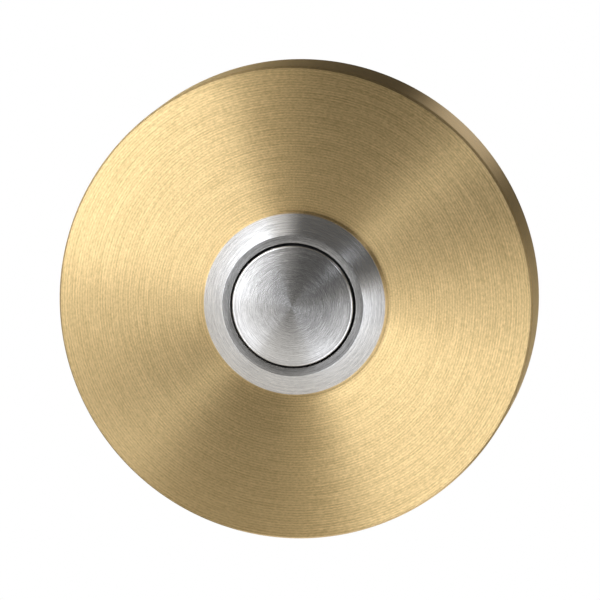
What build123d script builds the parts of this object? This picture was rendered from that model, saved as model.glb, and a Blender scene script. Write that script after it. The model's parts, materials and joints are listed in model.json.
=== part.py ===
from build123d import *
import os
from math import cos, pi, radians, sin, tan

# Doorbell push: a round turned brass cover with a stainless steel push-button in its middle.
# All sizes are millimetres. The button's axis is Y and +Z is up. The wall is the plane y = 0,
# the face looks towards -Y, and +Y goes into the wall. The origin is on the wall, on the axis.

# Brass cover
cover_diameter = 50.0
cover_depth = 8.0
cover_face_thickness = 3.0
cover_rim_wall = 2.5
cover_edge_break = 0.13
cover_inner_chamfer = 0.5
cover_hole_clearance = 0.1

# Base that is screwed to the wall inside the cover
plate_thickness = 4.0
plate_side_clearance = 0.25
plate_nut_clearance = 1.0
plate_lead_in = 0.5
plate_groove_depth = 0.9
plate_groove_floor = 0.7

# Countersunk wood screws
wall_screw_diameter = 3.5
wall_screw_length = 25.0
wall_screw_head_diameter = 7.0
wall_screw_head_sink = 0.1
wall_screw_neck_diameter = 2.6
wall_screw_edge_distance = 5.25
wall_screw_hole_clearance = 0.25
wall_screw_point = 4.0
wall_screw_slot_width = 1.0
wall_screw_slot_depth = 1.0

# Cone point set screw in the bottom of the cover's rim
set_screw_diameter = 3.0
set_screw_length = 3.0
set_screw_tip_diameter = 1.0
set_screw_socket = 1.5
set_screw_socket_depth = 1.4
tapped_clearance = 0.03

# Bezel: the head and barrel of the switch, turned in one piece
barrel_diameter = 16.0
barrel_threaded_length = 9.2
barrel_plain_relief = 0.2
barrel_rear_chamfer = 0.4
barrel_front_wall = 1.4
flange_overhang = 1.65
flange_edge_height = 0.4
land_height = 1.85
land_width = 0.85
bore_edge_break = 0.08
cap_shoulder_width = 0.35
cap_shoulder_depth = 2.4
insert_step_width = 0.25
insert_step_depth = 10.0

# Ring under the flange
flange_seal_thickness = 0.7
flange_seal_width = 0.7
flange_seal_play = 0.03

# Washer and nut behind the cover
lock_washer_thickness = 0.6
lock_washer_width = 2.5
lock_washer_rim = 1.2
lock_washer_tooth_count = 12
lock_washer_tooth_width = 2.0
lock_washer_tooth_clearance = 0.12
nut_flat_wall = 1.5
nut_thickness = 2.5
nut_chamfer_angle = 30.0
nut_thread_clearance = 0.05

# Cap that the finger presses
button_travel = 1.5
cap_gap = 0.25
cap_wall_stand = 0.05
cap_edge_radius = 0.35
cap_dome_rise = 0.5
cap_front_wall = 1.2
cap_hollow_diameter = 9.2
cap_flange_thickness = 1.0
cap_flange_clearance = 0.08

# Ring round the cap
cap_seal_width = 1.0
cap_seal_lip_chamfer = 0.3
cap_seal_side_play = 0.1
cap_seal_bore_clearance = 0.03
cap_seal_setback = 1.45

# Stem behind the cap
plunger_head_length = 2.0
plunger_head_clearance = 0.02
stem_diameter = 4.0
stem_guide_clearance = 0.05
stem_neck_diameter = 2.4
stem_neck_tail = 0.5

# Return spring
spring_wire = 0.6
spring_mean_diameter = 6.4
spring_turns = 5
spring_wire_flat_count = 8
spring_end_clearance = 0.03

# Moving contact and its clip
bridge_thickness = 0.6
bridge_overhang = 1.6
bridge_width = 4.2
bridge_front_clearance = 0.4
bridge_hole_clearance = 0.05
bridge_dimple_diameter = 1.8
bridge_dimple_height = 0.3
bridge_clip_thickness = 0.5
bridge_clip_diameter = 4.2
bridge_clip_slit_width = 0.5
bridge_clip_slit_depth = 0.4
bridge_clip_slit_count = 4

# Moulded insert in the barrel
insert_clearance = 0.05
stop_clearance = 0.05
spring_pocket_depth = 3.05
spring_pocket_clearance = 0.8
guide_length = 2.5
chamber_height = 5.4
chamber_depth = 5.5

# Base that holds the fixed contacts, and its snap ring
terminal_base_thickness = 3.2
barrier_thickness = 1.0
barrier_height = 9.0
barrier_depth = 2.6
snap_ring_thickness = 0.7
snap_ring_width = 0.95
snap_ring_groove_depth = 0.3
snap_ring_groove_play = 0.05
snap_ring_gap = 4.0
snap_ring_lug_diameter = 1.8
snap_ring_lug_hole = 0.8
snap_ring_lug_angle = 24.0
snap_ring_lug_inset = 0.1
barrel_end_lip = 0.7

# Fixed contacts, with the screws and washers for the bell wires
contact_stud_diameter = 2.4
contact_spacing_share = 0.425
contact_post_share = 0.25
contact_post_clearance = 0.2
contact_post_front = 0.6
contact_post_rear = 1.0
contact_waist_depth = 0.3
contact_waist_length = 1.2
terminal_screw_share = 0.15625
terminal_screw_length = 3.8
terminal_hole_depth = 4.0
terminal_head_height = 1.6
terminal_slot_width = 0.6
terminal_slot_depth = 0.8
terminal_washer_margin = 0.3
terminal_barrier_clearance = 0.3
terminal_washer_thickness = 0.4
terminal_washer_clearance = 0.1

# Radii worked out from the diameters above
cover_radius = cover_diameter / 2
cover_recess_radius = cover_radius - cover_rim_wall
barrel_radius = barrel_diameter / 2
barrel_plain_radius = barrel_radius - barrel_plain_relief
flange_radius = barrel_radius + flange_overhang
bore_radius = barrel_radius - barrel_front_wall
land_radius = bore_radius + land_width
cap_chamber_radius = bore_radius + cap_shoulder_width
insert_bore_radius = cap_chamber_radius + insert_step_width
cap_radius = bore_radius - cap_gap
cap_flange_radius = cap_chamber_radius - cap_flange_clearance
cap_hollow_radius = cap_hollow_diameter / 2
stem_radius = stem_diameter / 2
stem_neck_radius = stem_neck_diameter / 2
plate_radius = cover_recess_radius - plate_side_clearance
nut_flat_radius = barrel_radius + nut_flat_wall
nut_corner_radius = nut_flat_radius / cos(radians(30))
plate_opening_radius = nut_corner_radius + plate_nut_clearance
wall_screw_spacing = 2 * (plate_radius - wall_screw_edge_distance)
insert_radius = insert_bore_radius - insert_clearance
insert_front_radius = cap_chamber_radius - insert_clearance
contact_spacing = barrel_diameter * contact_spacing_share
contact_post_diameter = barrel_diameter * contact_post_share
contact_waist_diameter = contact_post_diameter - 2 * contact_waist_depth
chamber_length = contact_spacing + contact_post_diameter + 2 * contact_post_clearance
terminal_screw_diameter = barrel_diameter * terminal_screw_share
terminal_hole_radius = terminal_screw_diameter / 2 + tapped_clearance
bridge_length = contact_spacing + 2 * bridge_overhang
terminal_washer_radius = (contact_spacing - barrier_thickness) / 2 - terminal_barrier_clearance
terminal_head_radius = terminal_washer_radius - terminal_washer_margin

# Places along Y, from the front to the back
face_y = -cover_depth
cover_inner_y = face_y + cover_face_thickness
land_y = face_y - land_height
cap_wall_y = land_y - cap_wall_stand
cap_rim_y = cap_wall_y - cap_edge_radius
cap_crown_y = cap_rim_y - cap_dome_rise
cap_floor_y = cap_wall_y + cap_front_wall
cap_seal_y = land_y + cap_seal_setback + cap_seal_width / 2
cap_shoulder_y = face_y + cap_shoulder_depth
cap_back_y = cap_shoulder_y + cap_flange_thickness
plunger_seat_y = cap_floor_y + plunger_head_length
insert_front_y = cap_back_y + button_travel + stop_clearance
spring_seat_y = insert_front_y + spring_pocket_depth
insert_step_y = face_y + insert_step_depth
chamber_floor_y = spring_seat_y + guide_length
chamber_end_y = chamber_floor_y + chamber_depth
bridge_front_y = chamber_floor_y + bridge_front_clearance
bridge_back_y = bridge_front_y + bridge_thickness
clip_back_y = bridge_back_y + bridge_clip_thickness
plunger_end_y = clip_back_y + stem_neck_tail
contact_front_y = bridge_back_y + bridge_dimple_height + button_travel
base_back_y = chamber_end_y + terminal_base_thickness
barrel_end_y = base_back_y + snap_ring_thickness + barrel_end_lip
post_front_y = chamber_end_y - contact_post_front
post_back_y = base_back_y + contact_post_rear
washer_back_y = post_back_y + terminal_washer_thickness
head_back_y = washer_back_y + terminal_head_height
nut_front_y = cover_inner_y + lock_washer_thickness
nut_back_y = nut_front_y + nut_thickness
plate_front_y = -plate_thickness
set_screw_y = -plate_thickness / 2


def turned(points):
    """Solid turned about the Y axis from a closed outline of (radius, y) points."""
    return revolve(make_face(Polyline(*points, close=True)), Axis.Y)


def ring(inner_radius, outer_radius, front_y, back_y):
    """Plain ring, or a disc where the inner radius is zero."""
    return turned([(inner_radius, front_y), (outer_radius, front_y),
                   (outer_radius, back_y), (inner_radius, back_y)])


def prism(profile, front_y, back_y):
    """Profile drawn as seen along the axis, made solid between two places along Y."""
    return Pos(0, back_y, 0) * extrude(Plane.XZ * profile, back_y - front_y)


def spun(shape, angle):
    """The shape turned about the button's axis."""
    return Rot(0, angle, 0) * shape


def slot_cut(width, length, front_y, back_y):
    """Straight screwdriver slot across the axis."""
    return Pos(0, (front_y + back_y) / 2, 0) * Box(width, back_y - front_y, length)


def cover_disc():
    """Shallow brass cup: flat face with the barrel's hole, straight rim, tapped hole below."""
    hole_radius = barrel_radius + cover_hole_clearance
    body = turned([(hole_radius, face_y), (cover_radius - cover_edge_break, face_y),
                   (cover_radius, face_y + cover_edge_break), (cover_radius, 0),
                   (cover_recess_radius, 0),
                   (cover_recess_radius, cover_inner_y + cover_inner_chamfer),
                   (cover_recess_radius - cover_inner_chamfer, cover_inner_y),
                   (hole_radius, cover_inner_y)])
    tapped_radius = set_screw_diameter / 2 + tapped_clearance
    hole_length = cover_rim_wall + plate_side_clearance
    tapped_hole = Cylinder(tapped_radius, hole_length)
    return body - Pos(0, set_screw_y, hole_length / 2 - cover_radius) * tapped_hole


def wall_screw():
    """Countersunk wood screw on the Y axis, its thread drawn plain from the wall's surface on."""
    thread_radius = wall_screw_diameter / 2
    neck_radius = wall_screw_neck_diameter / 2
    head_radius = wall_screw_head_diameter / 2
    head_y = plate_front_y + wall_screw_head_sink
    tip_y = head_y + wall_screw_length
    cone_end_y = head_y + head_radius - neck_radius
    body = turned([(0, head_y), (head_radius, head_y), (neck_radius, cone_end_y),
                   (neck_radius, neck_radius - thread_radius), (thread_radius, 0),
                   (thread_radius, tip_y - wall_screw_point), (0, tip_y)])
    slot = slot_cut(wall_screw_slot_width, wall_screw_head_diameter,
                    head_y, head_y + wall_screw_slot_depth)
    return body - slot


def mounting_plate():
    """Ring that fits inside the cover, with a seat for each wall screw and an edge groove."""
    groove_half_floor = plate_groove_floor / 2
    groove_half_mouth = groove_half_floor + plate_groove_depth
    groove_radius = plate_radius - plate_groove_depth
    body = turned([(plate_opening_radius, plate_front_y),
                   (plate_radius - plate_lead_in, plate_front_y),
                   (plate_radius, plate_front_y + plate_lead_in),
                   (plate_radius, set_screw_y - groove_half_mouth),
                   (groove_radius, set_screw_y - groove_half_floor),
                   (groove_radius, set_screw_y + groove_half_floor),
                   (plate_radius, set_screw_y + groove_half_mouth),
                   (plate_radius, 0), (plate_opening_radius, 0)])
    head_radius = wall_screw_head_diameter / 2
    head_y = plate_front_y + wall_screw_head_sink
    hole_radius = wall_screw_diameter / 2 + wall_screw_hole_clearance
    seat = turned([(0, plate_front_y), (head_radius, plate_front_y), (head_radius, head_y),
                   (hole_radius, head_y + head_radius - hole_radius), (hole_radius, 0), (0, 0)])
    for side in (-1, 1):
        body -= Pos(side * wall_screw_spacing / 2, 0, 0) * seat
    return body


def set_screw():
    """Headless cone point screw: its flanks bear on the flanks of the plate's edge groove."""
    screw_radius = set_screw_diameter / 2
    tip_radius = set_screw_tip_diameter / 2
    groove_floor_radius = plate_radius - plate_groove_depth
    tip = groove_floor_radius + tip_radius - plate_groove_floor / 2
    top = tip + set_screw_length
    body = turned([(0, tip), (tip_radius, tip), (screw_radius, tip + screw_radius - tip_radius),
                   (screw_radius, top), (0, top)])
    socket = prism(RegularPolygon(set_screw_socket / 2, 6, major_radius=False),
                   top - set_screw_socket_depth, top)
    return Pos(0, set_screw_y, 0) * Rot(-90, 0, 0) * (body - socket)


def bezel():
    """Bevelled head and threaded barrel of the switch, bored in steps for what it holds."""
    seal_groove_radius = barrel_radius + flange_seal_width + 2 * flange_seal_play
    seal_groove_y = face_y - flange_seal_thickness
    thread_end_y = face_y + barrel_threaded_length
    snap_groove_radius = insert_bore_radius + snap_ring_groove_depth
    snap_groove_end_y = base_back_y + snap_ring_thickness
    return turned([(bore_radius + bore_edge_break, land_y), (land_radius, land_y),
                   (flange_radius, face_y - flange_edge_height), (flange_radius, face_y),
                   (seal_groove_radius, face_y), (seal_groove_radius, seal_groove_y),
                   (barrel_radius, seal_groove_y), (barrel_radius, thread_end_y),
                   (barrel_plain_radius, thread_end_y + barrel_radius - barrel_plain_radius),
                   (barrel_plain_radius, barrel_end_y - barrel_rear_chamfer),
                   (barrel_plain_radius - barrel_rear_chamfer, barrel_end_y),
                   (insert_bore_radius, barrel_end_y), (insert_bore_radius, snap_groove_end_y),
                   (snap_groove_radius, snap_groove_end_y), (snap_groove_radius, base_back_y),
                   (insert_bore_radius, base_back_y), (insert_bore_radius, insert_step_y),
                   (cap_chamber_radius, insert_step_y), (cap_chamber_radius, cap_shoulder_y),
                   (bore_radius, cap_shoulder_y), (bore_radius, land_y + bore_edge_break)])


def flange_seal():
    """Flat rubber ring in the groove under the bezel's flange."""
    inner_radius = barrel_radius + flange_seal_play
    return ring(inner_radius, inner_radius + flange_seal_width,
                face_y - flange_seal_thickness, face_y)


def lock_washer():
    """Washer with teeth round its inside."""
    outer_radius = barrel_radius + lock_washer_width
    rim_radius = outer_radius - lock_washer_rim
    tip_radius = barrel_radius + lock_washer_tooth_clearance
    tooth_root_radius = outer_radius - lock_washer_rim / 2
    tooth_length = tooth_root_radius - tip_radius
    tooth_mid_radius = (tooth_root_radius + tip_radius) / 2
    mid_y = (cover_inner_y + nut_front_y) / 2
    tooth = Pos(tooth_mid_radius, mid_y, 0) * Box(
        tooth_length, lock_washer_thickness, lock_washer_tooth_width)
    washer = ring(rim_radius, outer_radius, cover_inner_y, nut_front_y)
    for index in range(lock_washer_tooth_count):
        washer += spun(tooth, index * 360 / lock_washer_tooth_count)
    return washer


def fixing_nut():
    """Thin hexagon nut, chamfered on both faces."""
    chamfer_height = (nut_corner_radius - nut_flat_radius) * tan(radians(nut_chamfer_angle))
    hexagon = prism(RegularPolygon(nut_flat_radius, 6, major_radius=False),
                    nut_front_y, nut_back_y)
    hole_radius = barrel_radius + nut_thread_clearance
    envelope = turned([(hole_radius, nut_front_y), (nut_flat_radius, nut_front_y),
                       (nut_corner_radius, nut_front_y + chamfer_height),
                       (nut_corner_radius, nut_back_y - chamfer_height),
                       (nut_flat_radius, nut_back_y), (hole_radius, nut_back_y)])
    return hexagon & envelope


def button_cap():
    """Domed cap with a rounded edge, a groove for its ring and a flange that keeps it in."""
    dome_edge_radius = cap_radius - cap_edge_radius
    groove_radius = bore_radius - cap_seal_bore_clearance - cap_seal_width
    groove_half_width = cap_seal_width / 2 + cap_seal_side_play
    edge_x = dome_edge_radius + cap_edge_radius * sin(pi / 4)
    edge_y = cap_wall_y - cap_edge_radius * cos(pi / 4)
    dome_radius = (dome_edge_radius ** 2 + cap_dome_rise ** 2) / (2 * cap_dome_rise)
    half_edge = dome_edge_radius / 2
    dome_mid_y = cap_crown_y + dome_radius - (dome_radius ** 2 - half_edge ** 2) ** 0.5
    outline = Curve() + [
        ThreePointArc((0, cap_crown_y), (half_edge, dome_mid_y), (dome_edge_radius, cap_rim_y)),
        ThreePointArc((dome_edge_radius, cap_rim_y), (edge_x, edge_y), (cap_radius, cap_wall_y)),
        Polyline((cap_radius, cap_wall_y), (cap_radius, cap_seal_y - groove_half_width),
                 (groove_radius, cap_seal_y - groove_half_width),
                 (groove_radius, cap_seal_y + groove_half_width),
                 (cap_radius, cap_seal_y + groove_half_width), (cap_radius, cap_shoulder_y),
                 (cap_flange_radius, cap_shoulder_y), (cap_flange_radius, cap_back_y),
                 (cap_hollow_radius, cap_back_y), (cap_hollow_radius, cap_floor_y),
                 (0, cap_floor_y), (0, cap_crown_y))]
    return revolve(make_face(outline), Axis.Y)


def cap_seal():
    """Rubber ring in the cap's groove, just clear of the bore that it slides in."""
    lip_radius = bore_radius - cap_seal_bore_clearance
    shoulder_radius = lip_radius - cap_seal_lip_chamfer
    inner_radius = lip_radius - cap_seal_width
    front_y = cap_seal_y - cap_seal_width / 2
    back_y = cap_seal_y + cap_seal_width / 2
    return turned([(inner_radius, front_y), (shoulder_radius, front_y),
                   (lip_radius, front_y + cap_seal_lip_chamfer),
                   (lip_radius, back_y - cap_seal_lip_chamfer),
                   (shoulder_radius, back_y), (inner_radius, back_y)])


def plunger():
    """Moulded stem: a head that is pressed into the cap, a guided shank and a neck."""
    head_radius = cap_hollow_radius - plunger_head_clearance
    return turned([(0, cap_floor_y), (head_radius, cap_floor_y), (head_radius, plunger_seat_y),
                   (stem_radius, plunger_seat_y), (stem_radius, bridge_front_y),
                   (stem_neck_radius, bridge_front_y), (stem_neck_radius, plunger_end_y),
                   (0, plunger_end_y)])


def return_spring():
    """Coil spring between the plunger's head and the insert, its wire drawn with flats."""
    wire_radius = spring_wire / 2
    mean_radius = spring_mean_diameter / 2
    start_y = plunger_seat_y + wire_radius + spring_end_clearance
    height = spring_seat_y - wire_radius - spring_end_clearance - start_y
    coil = Helix(height / spring_turns, height, mean_radius, center=(0, start_y, 0),
                 direction=(0, 1, 0))
    section = Plane(coil @ 0, z_dir=coil % 0) * RegularPolygon(wire_radius, spring_wire_flat_count)
    return sweep(section, coil, is_frenet=True)


def contact_bridge():
    """Moving contact: a brass bar with a raised dimple near each end."""
    bar = prism(SlotOverall(bridge_length, bridge_width), bridge_front_y, bridge_back_y)
    dimple = ring(0, bridge_dimple_diameter / 2, bridge_back_y,
                  bridge_back_y + bridge_dimple_height)
    for side in (-1, 1):
        bar += Pos(side * contact_spacing / 2, 0, 0) * dimple
    hole = ring(0, stem_neck_radius + bridge_hole_clearance, bridge_front_y, bridge_back_y)
    return bar - hole


def bridge_clip():
    """Push-on clip whose teeth grip the plunger's neck."""
    clip = ring(stem_neck_radius, bridge_clip_diameter / 2, bridge_back_y, clip_back_y)
    slit_reach = stem_neck_radius + bridge_clip_slit_depth
    slit = Pos(slit_reach / 2, (bridge_back_y + clip_back_y) / 2, 0) * Box(
        slit_reach, bridge_clip_thickness, bridge_clip_slit_width)
    for index in range(bridge_clip_slit_count):
        clip -= spun(slit, (index + 0.5) * 360 / bridge_clip_slit_count)
    return clip


def contact_carrier():
    """Moulded insert: spring pocket, guide for the stem and the chamber of the contacts."""
    pocket_radius = (spring_mean_diameter + spring_wire) / 2 + spring_pocket_clearance
    guide_radius = stem_radius + stem_guide_clearance
    body = turned([(guide_radius, spring_seat_y), (pocket_radius, spring_seat_y),
                   (pocket_radius, insert_front_y), (insert_front_radius, insert_front_y),
                   (insert_front_radius, insert_step_y), (insert_radius, insert_step_y),
                   (insert_radius, chamber_end_y), (guide_radius, chamber_end_y)])
    chamber = prism(SlotOverall(chamber_length, chamber_height), chamber_floor_y, chamber_end_y)
    return body - chamber


def contact_post():
    """Fixed contact on the Y axis: a stud in front, a waisted post and a tapped hole behind."""
    stud_radius = contact_stud_diameter / 2
    post_radius = contact_post_diameter / 2
    waist_radius = contact_waist_diameter / 2
    waist_mid_y = (chamber_end_y + base_back_y) / 2
    waist_front_y = waist_mid_y - contact_waist_length / 2
    waist_back_y = waist_mid_y + contact_waist_length / 2
    hole_floor_y = post_back_y - terminal_hole_depth
    return turned([(0, contact_front_y), (stud_radius, contact_front_y),
                   (stud_radius, post_front_y), (post_radius, post_front_y),
                   (post_radius, waist_front_y), (waist_radius, waist_front_y),
                   (waist_radius, waist_back_y), (post_radius, waist_back_y),
                   (post_radius, post_back_y), (terminal_hole_radius, post_back_y),
                   (terminal_hole_radius, hole_floor_y), (0, hole_floor_y)])


def terminal_base():
    """Moulded disc round the fixed contacts, with a barrier between the two terminals."""
    barrier_mid_y = base_back_y + barrier_depth / 2
    base = ring(0, insert_radius, chamber_end_y, base_back_y)
    base += Pos(0, barrier_mid_y, 0) * Box(barrier_thickness, barrier_depth, barrier_height)
    post_room = contact_post() + ring(0, terminal_hole_radius, chamber_end_y, base_back_y)
    for side in (-1, 1):
        base -= Pos(side * contact_spacing / 2, 0, 0) * post_room
    return base


def base_clip():
    """Open snap ring with a lug at each end, in the groove behind the base."""
    outer_radius = insert_bore_radius + snap_ring_groove_depth - snap_ring_groove_play
    inner_radius = outer_radius - snap_ring_width
    back_y = base_back_y + snap_ring_thickness
    lug_radius = snap_ring_lug_diameter / 2
    lug_centre_radius = insert_bore_radius - lug_radius - snap_ring_lug_inset
    gap_cut = Pos(0, (base_back_y + back_y) / 2, -outer_radius) * Box(
        snap_ring_gap, snap_ring_thickness, outer_radius)
    clip = ring(inner_radius, outer_radius, base_back_y, back_y) - gap_cut
    lug = Pos(0, 0, -lug_centre_radius) * ring(0, lug_radius, base_back_y, back_y)
    lug_hole = Pos(0, 0, -lug_centre_radius) * ring(0, snap_ring_lug_hole / 2,
                                                    base_back_y, back_y)
    for side in (-1, 1):
        clip += spun(lug, side * snap_ring_lug_angle)
    for side in (-1, 1):
        clip -= spun(lug_hole, side * snap_ring_lug_angle)
    return clip


def terminal_washer():
    """Flat washer on the Y axis, under the head of a terminal screw."""
    hole_radius = terminal_screw_diameter / 2 + terminal_washer_clearance
    return ring(hole_radius, terminal_washer_radius, post_back_y, washer_back_y)


def terminal_screw():
    """Slotted cheese head screw on the Y axis, pointing towards the face."""
    shank_radius = terminal_screw_diameter / 2
    tip_y = washer_back_y - terminal_screw_length
    body = turned([(0, tip_y), (shank_radius, tip_y), (shank_radius, washer_back_y),
                   (terminal_head_radius, washer_back_y),
                   (terminal_head_radius, head_back_y), (0, head_back_y)])
    slot = slot_cut(terminal_slot_width, 2 * terminal_head_radius,
                    head_back_y - terminal_slot_depth, head_back_y)
    return body - slot


def pair(name, shape, spacing):
    """Left and right copies of a piece, the given spacing apart along X."""
    return {f"{name}_left": Pos(-spacing / 2, 0, 0) * shape,
            f"{name}_right": Pos(spacing / 2, 0, 0) * shape}


nodes = {
    "cover_disc": cover_disc(),
    "mounting_plate": mounting_plate(),
    "set_screw": set_screw(),
    "bezel": bezel(),
    "flange_seal": flange_seal(),
    "lock_washer": lock_washer(),
    "fixing_nut": fixing_nut(),
    "button_cap": button_cap(),
    "cap_seal": cap_seal(),
    "plunger": plunger(),
    "return_spring": return_spring(),
    "contact_bridge": contact_bridge(),
    "bridge_clip": bridge_clip(),
    "contact_carrier": contact_carrier(),
    "terminal_base": terminal_base(),
    "base_clip": base_clip(),
}
nodes.update(pair("wall_screw", wall_screw(), wall_screw_spacing))
nodes.update(pair("fixed_contact", contact_post(), contact_spacing))
nodes.update(pair("terminal_washer", terminal_washer(), contact_spacing))
nodes.update(pair("terminal_screw", terminal_screw(), contact_spacing))

os.makedirs("parts", exist_ok=True)
for node_name, solid in nodes.items():
    export_step(solid, f"parts/{node_name}.step")
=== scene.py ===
"""Doorbell push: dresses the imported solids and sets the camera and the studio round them."""
import json
import logging
import math
from dataclasses import dataclass
from enum import Enum

import bmesh
import bpy
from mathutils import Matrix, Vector


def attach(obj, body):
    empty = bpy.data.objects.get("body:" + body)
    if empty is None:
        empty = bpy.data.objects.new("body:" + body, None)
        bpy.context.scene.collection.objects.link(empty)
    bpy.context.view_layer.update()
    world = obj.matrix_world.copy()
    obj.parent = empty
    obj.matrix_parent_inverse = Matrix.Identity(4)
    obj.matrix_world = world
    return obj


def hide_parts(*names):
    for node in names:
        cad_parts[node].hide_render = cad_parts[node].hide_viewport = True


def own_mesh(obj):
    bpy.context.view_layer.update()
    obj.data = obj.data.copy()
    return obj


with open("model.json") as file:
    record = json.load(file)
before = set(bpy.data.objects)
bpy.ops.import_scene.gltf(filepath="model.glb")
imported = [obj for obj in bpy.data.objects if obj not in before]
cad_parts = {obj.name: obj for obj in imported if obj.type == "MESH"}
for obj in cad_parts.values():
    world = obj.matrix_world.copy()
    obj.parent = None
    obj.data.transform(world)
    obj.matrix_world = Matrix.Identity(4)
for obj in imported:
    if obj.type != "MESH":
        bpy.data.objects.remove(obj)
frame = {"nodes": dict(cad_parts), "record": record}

MM = 0.001
TURNED_SEGMENTS = 256
FINE_SEGMENTS = 96
ON_AXIS = 1e-6
WELD_DISTANCE = 2e-7
FLAT_ANGLE = math.radians(0.5)
SHARP_ANGLE = math.radians(26)
EASED_SHARP_ANGLE = math.radians(50)
NOISE_SPAN = (0.3, 0.7)
LINE_SPAN = (0.31, 0.69)
CLOUD_SPAN = (0.35, 0.65)
CLOUDS_IN_A_MM = 0.35
WHITE = (1, 1, 1, 1)
log = logging.getLogger("doorbell_push")


class Body(Enum):
    """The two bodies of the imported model."""

    HOUSING = "housing"
    BUTTON = "button"


class Slot(Enum):
    """The record's material slots."""

    TURNED_BRASS = "turned_brass"
    BRUSHED_STAINLESS = "brushed_stainless"
    TURNED_ALUMINIUM = "turned_aluminium"
    PLATED_STEEL = "plated_steel"
    DARK_STEEL = "dark_steel"
    SPRING_STEEL = "spring_steel"
    CONTACT_BRASS = "contact_brass"
    BLACK_MOULDING = "black_moulding"
    SEAL_RUBBER = "seal_rubber"


@dataclass(frozen=True)
class Corner:
    """One corner of a turned outline, in millimetres.

    Args:
        radius: Distance from the button's axis.
        along: Place along Y.
        easing: Radius that rounds the corner off.
    """

    radius: float
    along: float
    easing: float = 0.0


def eased_outline(corners: list[Corner], steps: int = 4) -> list[tuple[float, float]]:
    """Rounds off the corners of a closed outline.

    Args:
        corners: The outline's corners in order.
        steps: Number of spans that round one corner.

    Returns:
        Points of radius and place along Y, in millimetres.
    """
    points: list[tuple[float, float]] = []
    for index, corner in enumerate(corners):
        here = Vector((corner.radius, corner.along))
        if corner.easing <= 0:
            points.append((here.x, here.y))
            continue
        before, after = corners[index - 1], corners[(index + 1) % len(corners)]
        towards_before = Vector((before.radius, before.along)) - here
        towards_after = Vector((after.radius, after.along)) - here
        half_angle = towards_before.angle(towards_after) / 2
        reach = min(corner.easing / math.tan(half_angle),
                    0.48 * towards_before.length, 0.48 * towards_after.length)
        start = here + towards_before.normalized() * reach
        end = here + towards_after.normalized() * reach
        for step in range(steps + 1):
            share = step / steps
            point = (start * (1 - share) ** 2 + here * (2 * share * (1 - share))
                     + end * share ** 2)
            points.append((point.x, point.y))
    return points


def linked(name: str, mesh: bpy.types.Mesh) -> bpy.types.Object:
    """Puts a mesh into the scene as an object at the origin."""
    piece = bpy.data.objects.new(name, mesh)
    bpy.context.scene.collection.objects.link(piece)
    return piece


def shade(mesh: bpy.types.Mesh, angle: float = SHARP_ANGLE) -> None:
    """Makes a mesh smooth but for the edges that are sharper than an angle."""
    for face in mesh.polygons:
        face.use_smooth = True
    mesh.set_sharp_from_angle(angle=angle)


def plain_mesh(name: str, shape: bmesh.types.BMesh) -> bpy.types.Mesh:
    """Turns a bmesh into a mesh and frees it."""
    mesh = bpy.data.meshes.new(name)
    shape.to_mesh(mesh)
    shape.free()
    return mesh


def smooth_mesh(name: str, shape: bmesh.types.BMesh) -> bpy.types.Mesh:
    """Turns a bmesh into a smooth mesh with sharp edges, its faces pointing outwards."""
    bmesh.ops.recalc_face_normals(shape, faces=shape.faces)
    mesh = plain_mesh(name, shape)
    shade(mesh)
    return mesh


def joined_mesh(name: str, *meshes: bpy.types.Mesh) -> bpy.types.Mesh:
    """Puts meshes together as one smooth mesh with sharp edges."""
    shape = bmesh.new()
    for mesh in meshes:
        shape.from_mesh(mesh)
    return smooth_mesh(name, shape)


def turned(name: str, outline: list[tuple[float, float]],
           segments: int = TURNED_SEGMENTS) -> bpy.types.Object:
    """Closed shape turned about the Y axis.

    Args:
        name: Name of the piece.
        outline: Closed outline of radius and place along Y, in millimetres.
        segments: Number of spans round the axis.

    Returns:
        The piece, in metres, with its place in its mesh.
    """
    shape = bmesh.new()
    spokes = [(math.cos(math.tau * index / segments), math.sin(math.tau * index / segments))
              for index in range(segments)]
    rings = []
    for radius, along in outline:
        reach, height = radius * MM, along * MM
        if radius < ON_AXIS:
            rings.append([shape.verts.new((0, height, 0))])
        else:
            rings.append([shape.verts.new((reach * x, height, reach * z)) for x, z in spokes])
    for ring, following in zip(rings, rings[1:] + rings[:1]):
        if len(ring) == 1 and len(following) == 1:
            continue
        for index in range(segments):
            after = (index + 1) % segments
            corners = [ring[index % len(ring)], ring[after % len(ring)],
                       following[after % len(following)], following[index % len(following)]]
            shape.faces.new(list(dict.fromkeys(corners)))
    return linked(name, smooth_mesh(name, shape))


def block(name: str, centre: tuple[float, float, float],
          size: tuple[float, float, float]) -> bpy.types.Object:
    """Square-edged block for cutting, its sizes in millimetres."""
    shape = bmesh.new()
    bmesh.ops.create_cube(shape, size=1)
    for vertex in shape.verts:
        vertex.co = Vector([(middle + part * length) * MM
                            for middle, part, length in zip(centre, vertex.co, size)])
    return linked(name, smooth_mesh(name, shape))


def apply(piece: bpy.types.Object) -> None:
    """Puts the result of a piece's modifiers into its mesh and takes them off."""
    depsgraph = bpy.context.evaluated_depsgraph_get()
    result = bpy.data.meshes.new_from_object(piece.evaluated_get(depsgraph),
                                             depsgraph=depsgraph)
    piece.modifiers.clear()
    piece.data = result
    result.name = piece.name


def combine(piece: bpy.types.Object, other: bpy.types.Object,
            operation: str = "DIFFERENCE") -> None:
    """Cuts another shape from a piece, or intersects the two, and removes the other.

    Args:
        piece: The piece that is changed.
        other: The other shape, which is removed.
        operation: Name of the boolean operation.
    """
    modifier = piece.modifiers.new("combine", "BOOLEAN")
    modifier.object = other
    modifier.operation = operation
    modifier.solver = "EXACT"
    apply(piece)
    bpy.data.objects.remove(other)
    shade(piece.data)


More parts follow.
